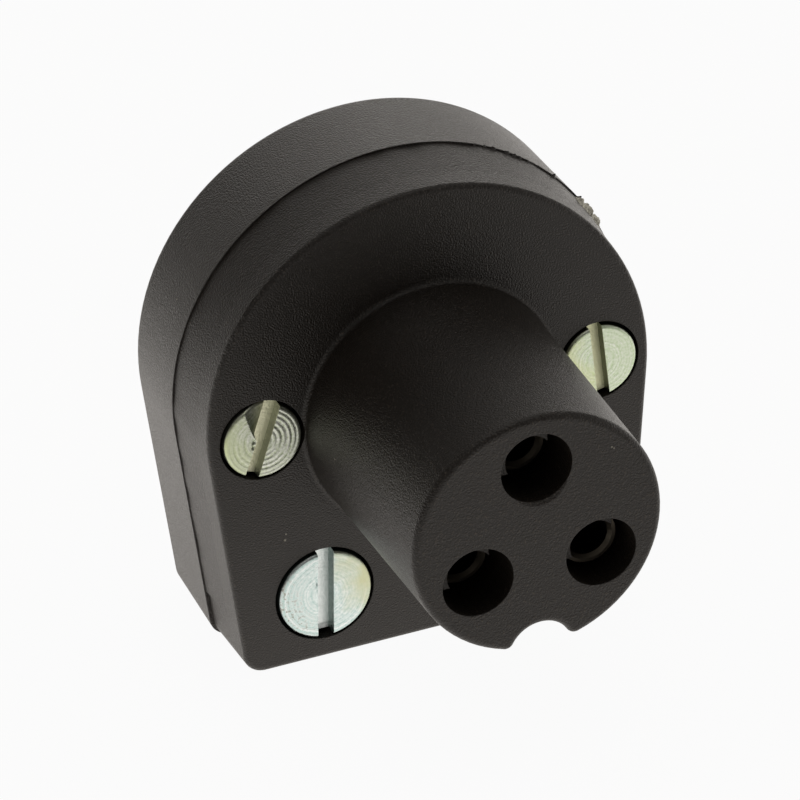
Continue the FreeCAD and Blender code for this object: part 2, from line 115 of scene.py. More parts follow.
def per_mm(millimetres):
    """Texture scale that repeats a pattern about once in this many millimetres."""
    return 1 / (millimetres * MM)


def quads(rows, columns, wrap=False):
    """Faces of a grid of points numbered row by row; wrap joins the last column to the first."""
    across = columns if wrap else columns - 1
    row, column = np.meshgrid(np.arange(rows - 1), np.arange(across), indexing="ij")
    following = (column + 1) % columns
    corners = [row * columns + column, row * columns + following,
               (row + 1) * columns + following, (row + 1) * columns + column]
    return np.stack([corner.ravel() for corner in corners], axis=1)


def sheet(points, wrap=False, flip=False):
    """A grid of points (rows, columns, 3) as loose points and faces, turned over if flip is set."""
    faces = quads(points.shape[0], points.shape[1], wrap)
    return points.reshape(-1, 3), faces[:, ::-1] if flip else faces


def make_piece(name, sheets, material, sharp=None):
    """One object from several sheets: joined, welded where they meet, smooth, and riding on the body.

    Edges that turn by more than sharp degrees stay sharp.
    """
    starts = np.cumsum([0] + [len(points) for points, _ in sheets])
    points = np.concatenate([points for points, _ in sheets])
    faces = np.concatenate([faces + start for (_, faces), start in zip(sheets, starts)])
    mesh = bpy.data.meshes.new(name)
    mesh.from_pydata(points.tolist(), [], faces.tolist())
    shell = bmesh.new()
    shell.from_mesh(mesh)
    bmesh.ops.remove_doubles(shell, verts=shell.verts, dist=WELD)
    bmesh.ops.dissolve_degenerate(shell, edges=shell.edges, dist=WELD)
    shell.to_mesh(mesh)
    shell.free()
    mesh.shade_smooth()
    if sharp:
        mesh.set_sharp_from_angle(angle=math.radians(sharp))
    mesh.materials.append(material)
    made = bpy.data.objects.new(name, mesh)
    bpy.context.scene.collection.objects.link(made)
    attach(made, ROOT)
    return made


def dress(node, material):
    """Give a carried-over solid its finish."""
    solid = NODES[node]
    solid.data.materials.clear()
    solid.data.materials.append(material)


# Materials

def glass_filled_nylon():
    """Glass-filled nylon from a spark-eroded mould: matte, near black and warm, with a fine even grain.

    The grain breaks up the reflections, so the parts that are seen at a low angle turn grey, and the
    moulded edges catch a thin line of light. The grain of such a mould is a few hundredths of a
    millimetre; it is drawn at a tenth, the finest that shows, and its high points are paler specks.
    """
    grain_size, cloud_size = 0.1, 5.0
    grain_depth, edge_radius = 0.06 * MM, 0.09 * MM
    material, tree, place = new_material("glass_filled_nylon")
    grain = add(tree, "ShaderNodeTexNoise", {
        "Vector": place, "Scale": per_mm(grain_size), "Detail": 1.0}).outputs[0]
    cloud = add(tree, "ShaderNodeTexNoise", {
        "Vector": place, "Scale": per_mm(cloud_size), "Detail": 3.0}).outputs[0]
    tone = add(tree, "ShaderNodeMix", {
        0: cloud, 6: linear("#1b1713"), 7: linear("#201b16")}, data_type="RGBA").outputs[2]
    specks = add(tree, "ShaderNodeMapRange", {0: grain, 1: 0.6, 2: 0.76}).outputs[0]
    colour = add(tree, "ShaderNodeMix", {
        0: specks, 6: tone, 7: linear("#453d34")}, data_type="RGBA").outputs[2]
    gloss = add(tree, "ShaderNodeMapRange", {0: grain, 1: 0.3, 2: 0.7, 3: 0.34, 4: 0.48}).outputs[0]
    edge = add(tree, "ShaderNodeBevel", {"Radius": edge_radius}, samples=6).outputs[0]
    bump = add(tree, "ShaderNodeBump", {
        "Height": grain, "Distance": grain_depth, "Strength": 1.0, "Normal": edge}).outputs[0]
    shader = add(tree, "ShaderNodeBsdfPrincipled", {
        "Base Color": colour, "Roughness": gloss, "IOR": 1.5, "Normal": bump})
    add(tree, "ShaderNodeOutputMaterial", {"Surface": shader.outputs[0]})
    return material


def torn_nylon():
    """Nylon torn off at the moulding gate: stress-whitened, so it is paler and duller than the skin."""
    fibre_size, fibre_depth = 0.3, 0.05 * MM
    material, tree, place = new_material("torn_nylon")
    fibre = add(tree, "ShaderNodeTexNoise", {
        "Vector": place, "Scale": per_mm(fibre_size), "Detail": 4.0, "Roughness": 0.7}).outputs[0]
    white = add(tree, "ShaderNodeMapRange", {0: fibre, 1: 0.35, 2: 0.65}).outputs[0]
    colour = add(tree, "ShaderNodeMix", {
        0: white, 6: linear("#8c897c"), 7: linear("#f6f4e6")}, data_type="RGBA").outputs[2]
    bump = add(tree, "ShaderNodeBump", {"Height": fibre, "Distance": fibre_depth}).outputs[0]
    shader = add(tree, "ShaderNodeBsdfPrincipled", {
        "Base Color": colour, "Roughness": 0.6, "IOR": 1.5, "Normal": bump})
    add(tree, "ShaderNodeOutputMaterial", {"Surface": shader.outputs[0]})
    return material


def lint():
    """Pale dust and lint, mottled from speck to speck."""
    mottle_size = 0.05
    material, tree, place = new_material("lint")
    mottle = add(tree, "ShaderNodeTexNoise", {
        "Vector": place, "Scale": per_mm(mottle_size), "Detail": 2.0}).outputs[0]
    colour = add(tree, "ShaderNodeMix", {
        0: mottle, 6: linear("#6d6a62"), 7: linear("#a9a69c")}, data_type="RGBA").outputs[2]
    shader = add(tree, "ShaderNodeBsdfPrincipled", {"Base Color": colour, "Roughness": 0.9})
    add(tree, "ShaderNodeOutputMaterial", {"Surface": shader.outputs[0]})
    return material


def zinc_plate(name, centre, radius, look):
    """Zinc-plated steel, turned on its face: fine streaks in rings about the screw's axis, and a passivate
    that has yellowed towards one side and pitted towards the other. The slot's floor is painted paler, a
    painted light, and the steep faces below the head's face, the slot's walls and the head's side, are
    painted darker, a painted shade.

    The pattern lies in units of the head's radius about the middle of its face.
    """
    material, tree, place = new_material(name)
    unit = add(tree, "ShaderNodeMapping", {
        "Vector": place, "Location": [-c / radius for c in centre], "Scale": [1 / radius] * 3}).outputs[0]
    cloud = add(tree, "ShaderNodeTexNoise", {"Vector": unit, "Scale": 2.0, "Detail": 5.0}).outputs[0]
    fleck = add(tree, "ShaderNodeTexNoise", {"Vector": unit, "Scale": 14.0, "Detail": 4.0}).outputs[0]
    # Streaks follow the distance from the axis, bent a little by the cloud, and flecks break them up.
    flat = add(tree, "ShaderNodeVectorMath", {0: unit, 1: (1, 0, 1)}, operation="MULTIPLY").outputs[0]
    away = add(tree, "ShaderNodeVectorMath", {0: flat}, operation="LENGTH").outputs["Value"]
    bent = add(tree, "ShaderNodeMath", {0: cloud, 1: 0.15, 2: away}, operation="MULTIPLY_ADD").outputs[0]
    streak = add(tree, "ShaderNodeTexNoise", {
        "W": bent, "Scale": 1 / look["ring"], "Detail": 4.0, "Roughness": 0.65},
        noise_dimensions="1D").outputs[0]
    worn = add(tree, "ShaderNodeMath", {0: fleck, 1: 0.9, 2: streak}, operation="MULTIPLY_ADD").outputs[0]
    bright = add(tree, "ShaderNodeMapRange", {0: worn, 1: 0.7, 2: 1.2}).outputs[0]
    # The stain grows towards one side of the head and the pits towards the other.
    turn = math.radians(look["stain_way"])
    way = (math.cos(turn), 0, math.sin(turn))
    side = add(tree, "ShaderNodeVectorMath", {0: unit, 1: way}, operation="DOT_PRODUCT").outputs["Value"]
    reach = add(tree, "ShaderNodeMath", {0: cloud, 1: 1.3, 2: side}, operation="MULTIPLY_ADD").outputs[0]
    stained = add(tree, "ShaderNodeMapRange", {0: reach, 1: 0.8, 2: 1.7, 4: 0.9}).outputs[0]
    far = add(tree, "ShaderNodeMapRange", {0: side, 1: -0.3, 2: -0.8, 4: look["pits"]}).outputs[0]
    deep = add(tree, "ShaderNodeMapRange", {0: fleck, 1: 0.52, 2: 0.66}).outputs[0]
    pitted = add(tree, "ShaderNodeMath", {0: far, 1: deep}, operation="MULTIPLY").outputs[0]
    # The slot is told by its depth below the face, and its walls by how steep they are. Deep in the slot the
    # colour turns paler, a painted light on the slot's floor; steep faces below the face, the slot's walls
    # and the head's side, turn darker, a painted shade.
    depth = add(tree, "ShaderNodeSeparateXYZ", {0: unit}).outputs["Y"]
    painted_slot_light = add(tree, "ShaderNodeMapRange", {0: depth, 1: 0.08, 2: 0.3}).outputs[0]
    normal = add(tree, "ShaderNodeNewGeometry").outputs["Normal"]
    facing = add(tree, "ShaderNodeVectorMath", {
        0: normal, 1: (0, -1, 0)}, operation="DOT_PRODUCT").outputs["Value"]
    steep = add(tree, "ShaderNodeMapRange", {0: facing, 1: 0.6, 2: 0.2}).outputs[0]
    below = add(tree, "ShaderNodeMapRange", {0: depth, 1: 0.01, 2: 0.06}).outputs[0]
    wall = add(tree, "ShaderNodeMath", {0: steep, 1: below}, operation="MULTIPLY").outputs[0]
    colour = linear(look["dull"])
    tints = ((bright, "pale"), (stained, "stain"), (pitted, "pit"), (painted_slot_light, "slot"), (wall, "wall"))
    for share, tint in tints:
        colour = add(tree, "ShaderNodeMix", {
            0: share, 6: colour, 7: linear(look[tint])}, data_type="RGBA").outputs[2]
    gloss = add(tree, "ShaderNodeMapRange", {0: worn, 1: 0.5, 2: 1.1, 3: 0.28, 4: 0.46}).outputs[0]
    bump = add(tree, "ShaderNodeBump", {
        "Height": worn, "Distance": 0.02 * MM, "Strength": 0.9}).outputs[0]
    shader = add(tree, "ShaderNodeBsdfPrincipled", {
        "Base Color": colour, "Metallic": 1.0, "Roughness": gloss, "Normal": bump})
    add(tree, "ShaderNodeOutputMaterial", {"Surface": shader.outputs[0]})
    return material


def dull_metal(name, bright, dull, roughness):
    """Drawn or turned metal that has dulled in patches, with fine marks of the tool."""
    patch_size, mark_size, mark_depth = 1.2, 0.12, 0.004 * MM
    material, tree, place = new_material(name)
    patches = add(tree, "ShaderNodeTexNoise", {
        "Vector": place, "Scale": per_mm(patch_size), "Detail": 4.0}).outputs[0]
    marks = add(tree, "ShaderNodeTexNoise", {
        "Vector": place, "Scale": per_mm(mark_size), "Detail": 2.0}).outputs[0]
    colour = add(tree, "ShaderNodeMix", {
        0: patches, 6: linear(bright), 7: linear(dull)}, data_type="RGBA").outputs[2]
    gloss = add(tree, "ShaderNodeMapRange", {
        0: marks, 3: roughness - 0.1, 4: roughness + 0.1}).outputs[0]
    bump = add(tree, "ShaderNodeBump", {
        "Height": marks, "Distance": mark_depth, "Strength": 0.3}).outputs[0]
    shader = add(tree, "ShaderNodeBsdfPrincipled", {
        "Base Color": colour, "Metallic": 1.0, "Roughness": gloss, "Normal": bump})
    add(tree, "ShaderNodeOutputMaterial", {"Surface": shader.outputs[0]})
    return material


# Slotted screws

# Steps of the grids: over the rim's rounding, down a wall, across the slot's floor, and in a turn of thread.
ROUND_STEPS, WALL_STEPS, BED_STEPS, THREAD_STEPS = 9, 6, 7, 10
# The scoop's depth as a share of the slot's, and the power with which it widens towards the rim.
SCOOP_DEPTH, SCOOP_FLARE = 0.8, 0.8
# Depth of the thread, its run-out at the tip and the tip's taper, as shares of the pitch.
THREAD_DEPTH, RUN_OUT, TIP_TAPER = 0.54, 0.5, 0.3
# Edges of a screw that turn by more than this many degrees stay sharp.
SCREW_SHARP = 32
# The heads stand this much further out than the seats of the solids, as in the photograph.
STAND_OUT = 0.3 * MM


def bells(a, b, marks):
    """Height that bumps and nicks add to a land: each is a bell with two half-widths about its own place."""
    total = np.zeros_like(a)
    for along, across, long, wide, height in marks:
        total += height * MM * np.exp(-((a / MM - along) / long) ** 2 - ((b / MM - across) / wide) ** 2)
    return total


def slotted_screw(size, ring_depth, scoop, marks):
    """Sheets of a slotted cheese-head screw: a runs along the slot, b across it, c out of the head.

    Each land is swept in rings: the radius grows from half the slot's width to the rim, and at each radius
    the angle runs from one edge of the slot to the other. Its height is the head's height plus a ripple in
    the radius; the first land also has the scoop that a slipped driver left, and its marks. Walls, floor
    and rim follow the same rings, and the shank's radius is a saw-tooth of height and angle, a thread.
    """
    head, height, slot, depth, edge = (size[k] * MM for k in ("head", "height", "slot", "depth", "edge"))
    thread, length, pitch = (size[k] * MM for k in ("thread", "length", "pitch"))
    radius, half = head / 2, slot / 2
    land = np.linspace(half, radius - edge, size["rings"])
    round_off = np.linspace(0, math.pi / 2, ROUND_STEPS)[1:]
    rho = np.concatenate([land, radius - edge + edge * np.sin(round_off)])
    level = np.concatenate([np.full(len(land), height), height - edge + edge * np.cos(round_off)])
    ripple = np.where(rho < radius - edge, 1.0, 0.0) * np.sin(2 * math.pi * rho / (size["feed"] * MM))
    turn = np.linspace(0, 1, size["arc"])
    start = np.arcsin(half / rho)[:, None]
    angle = start + (math.pi - 2 * start) * turn
    a, b = rho[:, None] * np.cos(angle), rho[:, None] * np.sin(angle)
    floor = height - depth
    reach = math.sqrt(radius ** 2 - half ** 2)

    def top(along, across, base):
        """Height of the first land: its base, less the scoop's slope down to the slot, plus the marks."""
        width = scoop * MM * np.clip(along / reach, 0, 1) ** SCOOP_FLARE
        inside = np.clip(1 - (across - half) / np.maximum(width, 1e-9), 0, 1)
        cut = SCOOP_DEPTH * depth * inside * (scoop > 0)
        return np.maximum(base - cut + bells(along, across, marks), floor)

    drop = np.linspace(0, 1, WALL_STEPS)
    sheets = []
    side_c = (height - edge) + (floor - height + edge) * drop
    for sign, groove in zip((1, -1), ring_depth):
        base = (level + groove * MM * ripple)[:, None] + np.zeros_like(a)
        c = top(a, b, base) if sign > 0 else base
        sheets.append(sheet(np.stack([sign * a, sign * b, c], axis=2)))
        side = np.stack(np.broadcast_arrays(sign * a[-1], sign * b[-1], side_c[:, None]), axis=2)
        if sign > 0:
            side[:, :, 2] = np.minimum(side[:, :, 2], c[-1])
            side[0, :, 2] = c[-1]
        sheets.append(sheet(side))
        along = np.concatenate([a[::-1, -1], a[1:, 0]])
        crest = np.concatenate([c[::-1, -1], c[1:, 0]])
        wall_c = crest + (floor - crest) * drop[:, None]
        wall = np.stack(np.broadcast_arrays(sign * along, sign * half, wall_c), axis=2)
        sheets.append(sheet(wall))
    across = np.linspace(half, -half, BED_STEPS)[:, None]
    stretch = np.sqrt(radius ** 2 - across ** 2) / reach
    bed = np.stack(np.broadcast_arrays(along * stretch, across, floor), axis=2)
    sheets.append(sheet(bed))

    ends = across[1:-1, 0]
    loop = np.concatenate([
        np.stack([a[-1], b[-1]], axis=1),
        np.stack([-np.sqrt(radius ** 2 - ends ** 2), ends], axis=1),
        np.stack([-a[-1], -b[-1]], axis=1),
        np.stack([np.sqrt(radius ** 2 - ends ** 2), -ends], axis=1)])
    circle = loop / radius
    theta = np.arctan2(circle[:, 1], circle[:, 0])

    def ring(r, c):
        """Rows of the closed loop at radii r and heights c."""
        r, c = np.broadcast_arrays(np.atleast_2d(r), np.atleast_2d(c))
        points = [r * circle[:, 0], r * circle[:, 1], c + 0 * circle[:, 0]]
        return np.stack(np.broadcast_arrays(*points), axis=2)

    skirt = ring(np.array([[radius], [radius]]), np.array([[floor], [0]]))
    core = thread / 2
    steps = np.linspace(0, -length, int(length / pitch * THREAD_STEPS))[:, None]
    tooth = np.abs(((steps / pitch + theta / (2 * math.pi)) % 1) * 2 - 1)
    fade = np.clip(-steps / pitch, 0, 1) * np.clip((steps + length) / (RUN_OUT * pitch), 0, 1)
    lead = np.clip((steps + length) / pitch, 0, 1)
    shank_r = core - THREAD_DEPTH * pitch * (1 - tooth * fade) * fade - TIP_TAPER * pitch * (1 - lead)
    shank = np.stack(np.broadcast_arrays(shank_r * circle[:, 0], shank_r * circle[:, 1], steps), axis=2)
    under = np.stack([skirt[-1], shank[0]])
    cap = np.stack([shank[-1], shank[-1] * (0, 0, 1)])
    sheets += [sheet(part, wrap=True) for part in (skirt, under, shank, cap)]
    return sheets


def place_screw(name, node, look, material):
    """Stand a screw on the axis of its solid, turned to its slot's angle, in place of that solid."""
    size = look["size"]
    low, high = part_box(node)
    out = np.array([0, -1, 0])
    spin = math.radians(look["spin"])
    along = np.array([math.cos(spin), 0, math.sin(spin)])
    origin = np.array([
        (low.x + high.x) / 2, low.y - STAND_OUT + size["height"] * MM, (low.z + high.z) / 2])
    axes = np.stack([along, np.cross(out, along), out])
    parts = slotted_screw(size, look["ring_depth"], look["scoop"], look["marks"])
    sheets = [(points @ axes + origin, faces[:, ::-1]) for points, faces in parts]
    made = make_piece(name, sheets, material, sharp=SCREW_SHARP)
    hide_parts(node)


# Moulding marks and dust on the housing

# Flash: degrees that it runs past the level of the crown's middle, points along it, how far ahead of the
# parting plane its swell and its ridge reach in millimetres.
FLASH_PAST, FLASH_STEPS = 50, 2600
SWELL_REACH, RIDGE_REACH = 3.0, 0.12
# Torn tags of the flash: degrees round the crown, height in millimetres, half-width in degrees.
FLASH_TAGS = ((45.0, 0.15, 0.4), (35.2, 0.18, 0.5))
# Gate scar: degrees round the crown, millimetres ahead of the parting plane, and points each way.
SCAR_TURN, SCAR_AHEAD, SCAR_STEPS = (26.6, 38.0), (0.05, 1.3), (180, 70)
# Rolled edge of the top hole: degrees round the hole, width and height in millimetres, and points each way.
SCUFF_TURN, SCUFF_WIDTH, SCUFF_HEIGHT, SCUFF_STEPS = (-130, -30), 0.34, 0.12, (90, 26)
# Shares of the scuff's width that lie before its ridge and past it.
BEFORE_RIDGE, PAST_RIDGE = 0.8, 0.2
# Dust: place in millimetres, way that it faces, radius in millimetres.
SPECKS = (
    ((-9.11, 1.90, 8.34), (0, -1, 0), 0.085),
    ((-9.03, 1.90, 8.71), (0, -1, 0), 0.055),
    ((-12.18, 8.75, 20.98), (-0.89, 0.0, 0.46), 0.07),
    ((-7.39, -2.40, 15.48), (-0.99, -0.03, 0.12), 0.07),
    ((4.30, -13.15, 19.00), (0, -1, 0), 0.06),
    ((4.42, -13.15, 18.90), (0, -1, 0), 0.05))


def outline(angle, offset):
    """Points of the D outline at the parting plane, by angle from +X over the crown, moved out by offset.

    Between -SIDE_ANGLE and 180 degrees plus SIDE_ANGLE it is the crown's circle; past that, the straight
    side that leaves the circle at a tangent, by the arc length that the angle stands for.
    """
    turn = np.clip(angle, -SIDE_ANGLE, math.pi + SIDE_ANGLE)
    spare = (angle - turn) * CROWN_RADIUS
    normal = np.stack([np.cos(turn), np.zeros_like(turn), np.sin(turn)], axis=-1)
    tangent = np.stack([-np.sin(turn), np.zeros_like(turn), np.cos(turn)], axis=-1)
    points = normal * (CROWN_RADIUS + offset[..., None]) + tangent * spare[..., None]
    return points + np.array([0, PARTING_Y, CROWN_HEIGHT])


def waver(at, seed, knots):
    """Smooth repeatable noise from 0 to 1 along a line, by cubic easing between seeded knots."""
    values = np.random.default_rng(seed).random(knots + 1)
    where = np.clip((at - at.min()) / (at.max() - at.min()), 0, 1) * knots
    left = np.minimum(where.astype(int), knots - 1)
    part = where - left
    ease = part * part * (3 - 2 * part)
    return values[left] * (1 - ease) + values[left + 1] * ease


def moulding_flash(material):
    """Flash along the parting line: a low swell on the front shell's edge, with crumbs and two torn tags.

    The swell falls evenly with the depth ahead of the parting plane, and its crest wavers with the angle;
    a narrow second term at the plane itself carries the crumbs and tags above the cover's edge. Heights
    and depths are in millimetres until they are set on the outline.
    """
    past = math.radians(FLASH_PAST)
    angle = np.linspace(-past, math.pi + past, FLASH_STEPS)
    degrees = np.degrees(angle)
    crest = 0.10 + 0.05 * waver(angle, 5, 60) - 0.03 * np.sin(angle) ** 2
    crumbs = 0.07 * np.clip(waver(angle, 6, 420) * 3.2 - 2.1, 0, 1) * np.exp(-((degrees - 60) / 9) ** 4)
    for at, tall, wide in FLASH_TAGS:
        crumbs = np.maximum(crumbs, tall * np.exp(-((degrees - at) / wide) ** 2))
    ahead = np.concatenate([np.linspace(0, RIDGE_REACH, 5), np.linspace(0.2, SWELL_REACH, 8)])
    slope = 1 - ahead / SWELL_REACH
    ridge = np.clip(1 - ahead / RIDGE_REACH, 0, 1)
    stand = np.where(crumbs > 0.004, FRONT_STEP / MM - crest + crumbs, 0)
    height = crest[:, None] * slope + stand[:, None] * ridge - 0.004 * (ahead / SWELL_REACH)
    offset = height * MM - FRONT_STEP - ahead * MM * math.tan(FRONT_DRAFT)
    points = outline(angle[:, None] + np.zeros_like(height), offset)
    points[:, :, 1] -= ahead * MM
    make_piece("moulding_flash", [sheet(points, flip=True)], material)


def gate_scar(material):
    """Torn stub of the moulding gate on the front shell's rim, just ahead of the parting line.

    A patch over the angle round the crown and the depth ahead of the parting plane: its height is a
    flat-topped bell whose border and top are made ragged by noise, and its border sinks under the skin.
    """
    along, deep = SCAR_STEPS
    angle = np.radians(np.linspace(*SCAR_TURN, along))
    ahead = np.linspace(*SCAR_AHEAD, deep) * MM
    u, v = np.linspace(-1, 1, along)[:, None], np.linspace(-1, 1, deep)
    ragged = 0.6 * waver(angle, 15, 24)[:, None] * np.abs(v) + 0.4 * waver(ahead, 16, 10) * np.abs(u)
    flat = np.clip(1.35 - u ** 4 - v ** 2 * (1 - 0.5 * (v < 0)) - ragged, 0, 1)
    flat = flat * (1 - u ** 8) * (1 - v ** 8)
    fray = 0.6 * waver(angle, 11, 9)[:, None] + 0.25 * waver(angle, 12, 33)[:, None]
    fray = fray + 0.3 * waver(ahead, 13, 9) * waver(angle, 14, 21)[:, None]
    height = (0.18 + 0.40 * fray) * flat - 0.06
    offset = height * MM - FRONT_STEP - ahead * math.tan(FRONT_DRAFT)
    points = outline(angle[:, None] + np.zeros_like(flat), offset)
    points[:, :, 1] -= ahead
    make_piece("gate_scar", [sheet(points, flip=True)], material)


def rim_scuff(material):
    """Rolled edge under the top contact hole: a crescent that rises from the hole's rim to a ridge.

    The angle runs round the hole and the second parameter across the crescent, whose width is a half sine;
    the height climbs evenly to the ridge and falls past it until it sinks into the face.
    """
    low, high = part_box("contact_sleeve_top")
    middle = np.array([(low.x + high.x) / 2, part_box("front_shell")[0].y, (low.z + high.z) / 2])
    hole = (high.x - low.x) / 2 + SLEEVE_ROOM
    round_hole, over = SCUFF_STEPS
    turn = np.radians(np.linspace(*SCUFF_TURN, round_hole))[:, None]
    across = np.linspace(0, 1, over)
    swell = np.sin(np.linspace(0, math.pi, round_hole))[:, None] ** 0.8
    ridge = np.where(across < BEFORE_RIDGE, across / BEFORE_RIDGE, (1 - across) / PAST_RIDGE)
    reach = hole + SCUFF_WIDTH * MM * swell * across
    rise = (SCUFF_HEIGHT * swell * ridge - 0.006 * across ** 4 + 0.003) * MM
    points = np.stack([reach * np.cos(turn), -rise, reach * np.sin(turn)], axis=2) + middle
    make_piece("rim_scuff", [sheet(points)], material)


def dust(material):
    """Specks of dust: each is a low dome, swept in rings about its own normal and set on the surface."""
    fall = np.linspace(0, math.pi / 2, 6)[:, None]
    turn = np.linspace(0, 2 * math.pi, 16, endpoint=False)
    sheets = []
    for at, way, radius in SPECKS:
        out = np.array(way) / np.linalg.norm(way)
        flat = np.cross(out, (0.3, 0.5, 0.8))
        flat /= np.linalg.norm(flat)
        reach = np.sin(fall) * radius
        rise = (np.cos(fall) * 0.5 - 0.1) * radius + 0 * turn
        dome = np.stack([np.cos(turn) * reach, np.sin(turn) * reach, rise], axis=2)
        points = dome @ np.stack([flat, np.cross(out, flat), out])
        sheets.append(sheet((points + np.array(at)) * MM, wrap=True, flip=True))
    make_piece("dust", sheets, material)


# Finish of every piece

nylon = glass_filled_nylon()
# The brass is dulled to a dark grey-brown: partly tarnish, and partly painted shade for the contact sleeves,
# whose mouths sit deep in dark holes.
brass = dull_metal("brass_tarnish_and_painted_shade", "#7d7669", "#46423c", 0.34)
nickel = dull_metal("nickel_plate", "#b9b5aa", "#8f8b80", 0.3)
bar_zinc = dull_metal("zinc_plated_bar", "#b6bab2", "#9a9d92", 0.36)
for shell in ("front_shell", "rear_cover"):
    dress(shell, nylon)
for spot in ("top", "left", "right"):
    dress(f"contact_sleeve_{spot}", brass)
    dress(f"terminal_stud_{spot}", brass)
    dress(f"terminal_washer_{spot}", nickel)
    dress(f"terminal_screw_{spot}", nickel)
for side in ("left", "right"):
    dress(f"cover_insert_{side}", brass)
dress("clamp_bar", bar_zinc)

# Screw sizes in millimetres, as in the solids; feed is the spacing of the turned rings.
COVER = {
    "head": 4.5, "height": 1.8, "slot": 0.75, "depth": 0.75, "edge": 0.2,
    "thread": 2.5, "length": 6.0, "pitch": 0.45, "feed": 0.29, "rings": 110, "arc": 90}
CLAMP = {
    "head": 5.5, "height": 2.0, "slot": 0.95, "depth": 0.9, "edge": 0.2,
    "thread": 3.0, "length": 6.0, "pitch": 0.5, "feed": 0.25, "rings": 120, "arc": 96}
# Marks lie along and across the slot: place, half-widths and height, in millimetres.
NICK = (
    (-0.10, 0.50, 0.16, 0.10, -0.12),
    (-0.42, 0.46, 0.12, 0.08, -0.10),
    (0.12, 0.47, 0.10, 0.06, 0.05))
rng = np.random.default_rng(21)
BURRS = 16
BURR = np.stack([
    rng.uniform(-2.2, 2.2, BURRS), rng.uniform(0.5, 0.62, BURRS), rng.uniform(0.12, 0.4, BURRS),
    rng.uniform(0.04, 0.09, BURRS), rng.uniform(-0.07, 0.04, BURRS)], axis=1)
# Each screw: its size, the slot's angle, the depth of the rings on its two lands, the width of the driver's
# scoop, its marks, the spacing of the streaks in head radii, the side that has yellowed, how pitted it is,
# and the colours of its plate, where slot is a painted light on the slot's floor and wall a painted shade
# on the slot's walls and the head's side.
SCREWS = {
    "cover_screw_left": dict(
        size=COVER, spin=70, ring_depth=(0.003, 0.011), scoop=1.6, marks=NICK,
        ring=0.1, stain_way=190, pits=0.0,
        pale="#f6f9f2", dull="#abb699", stain="#cdd8ab", pit="#6b6d5e", slot="#f8f8da", wall="#9ea294"),
    "cover_screw_right": dict(
        size=COVER, spin=95, ring_depth=(0.002, 0.002), scoop=0.0, marks=(),
        ring=0.08, stain_way=200, pits=0.0,
        pale="#f8fff2", dull="#c7dbb4", stain="#e9ecaf", pit="#6b6d5e", slot="#e6e8c4", wall="#666b54"),
    "clamp_screw_left": dict(
        size=CLAMP, spin=87, ring_depth=(0.002, 0.002), scoop=0.0, marks=BURR,
        ring=0.07, stain_way=20, pits=0.7,
        pale="#f8ffff", dull="#b9d2cf", stain="#d4d6ae", pit="#77725c", slot="#f8ffff", wall="#6f807c"),
    "clamp_screw_right": dict(
        size=CLAMP, spin=40, ring_depth=(0.002, 0.002), scoop=0.0, marks=(),
        ring=0.07, stain_way=250, pits=0.2,
        pale="#f8ffff", dull="#b9d2cf", stain="#dfe0b6", pit="#77725c", slot="#f8ffff", wall="#6f807c"),
}
for screw_node, screw_look in SCREWS.items():
    low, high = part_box(screw_node)
    middle = ((low.x + high.x) / 2, low.y - STAND_OUT, (low.z + high.z) / 2)
    plate = zinc_plate(f"zinc_{screw_node}", middle, screw_look["size"]["head"] / 2 * MM, screw_look)
    place_screw(f"turned_{screw_node}", screw_node, screw_look, plate)
moulding_flash(nylon)
gate_scar(torn_nylon())
rim_scuff(nylon)
dust(lint())

# Stage, light and camera

# The floor's half width, and how far it lies below the object so that the two never coincide.
FLOOR_REACH, FLOOR_DROP = 2.0, 0.02 * MM
# What the floor gives back as light, ahead of the object and behind it; the camera sees it white.
FLOOR_AHEAD, FLOOR_BEHIND = 0.72, 1.5
# Half the depth over which the one turns into the other, and how much of the floor's look is that glow.
FLOOR_TURN, FLOOR_GLOW = 30 * MM, 0.95
# Towards the back left the floor's light fades with the distance from the object.
FADE_WAY = (-0.71, 0.71, 0.0)
FADE_START, FADE_END, FADE_LEVEL = 40 * MM, 140 * MM, 0.4
# The studio's light is slightly warm.
LIGHT_TINT = "#fffaf4"
# Soft lights of the studio: azimuth from the back towards the right, elevation, strength.
SOFT_LIGHTS = ((-10, 5, 0.6), (20, 5, 2.3), (110, 5, 0.6), (100, 30, 0.25), (-135, 28, 0.2), (0, 88, 1.4))
# How fast a soft light falls off with the angle from its middle.
FALL_OFF = 11.0


